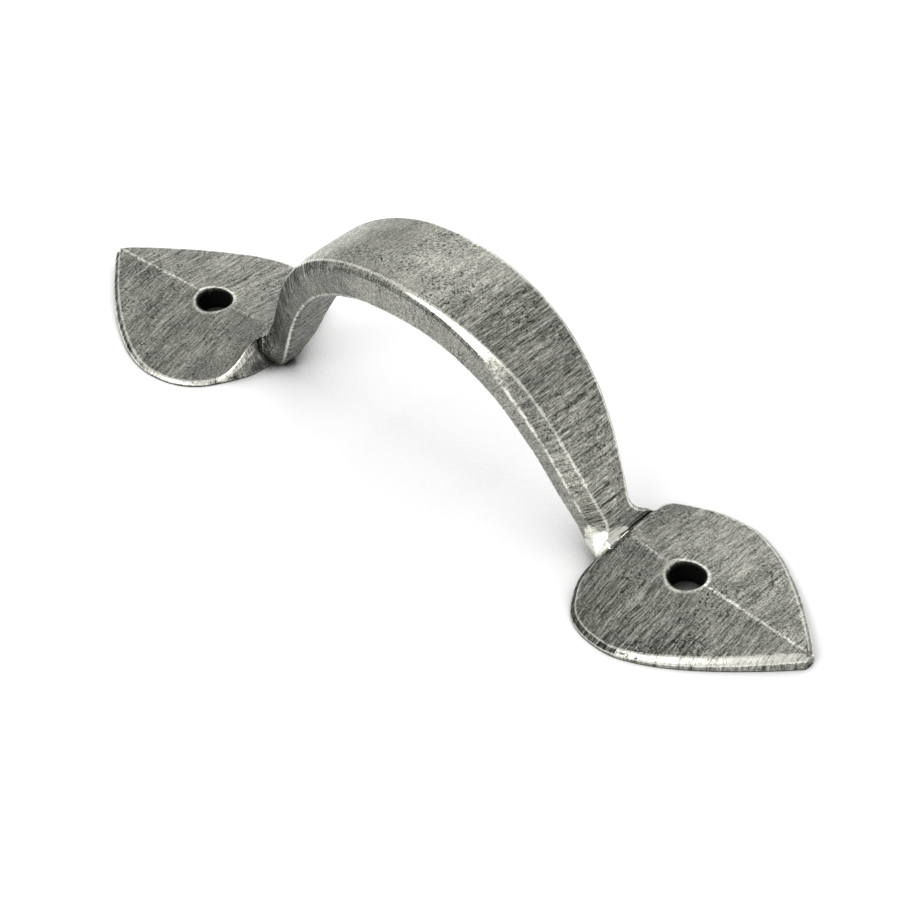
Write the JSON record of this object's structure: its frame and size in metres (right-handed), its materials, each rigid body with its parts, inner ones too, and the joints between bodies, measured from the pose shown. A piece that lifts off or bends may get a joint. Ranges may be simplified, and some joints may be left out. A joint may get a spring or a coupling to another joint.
{
  "type": "door pull handle",
  "caption": "Hand-forged steel bow pull for a cabinet door or drawer, with a wide grip, narrow bent legs and a ridged, pointed leaf with a screw hole at each end.",
  "frame": {"origin": "middle of the handle's back, on the plane that lies against the door", "axes": "+X runs along the handle from leaf to leaf, +Y across it, +Z points out from the door"},
  "size_m": [0.102, 0.0242, 0.0265],
  "materials": {
    "forged_steel": "pewter-grey patina, brushed by hand, lightly pitted"
  },
  "bodies": {
    "root": {"pull_handle": "forged_steel"}
  },
  "joints": []
}
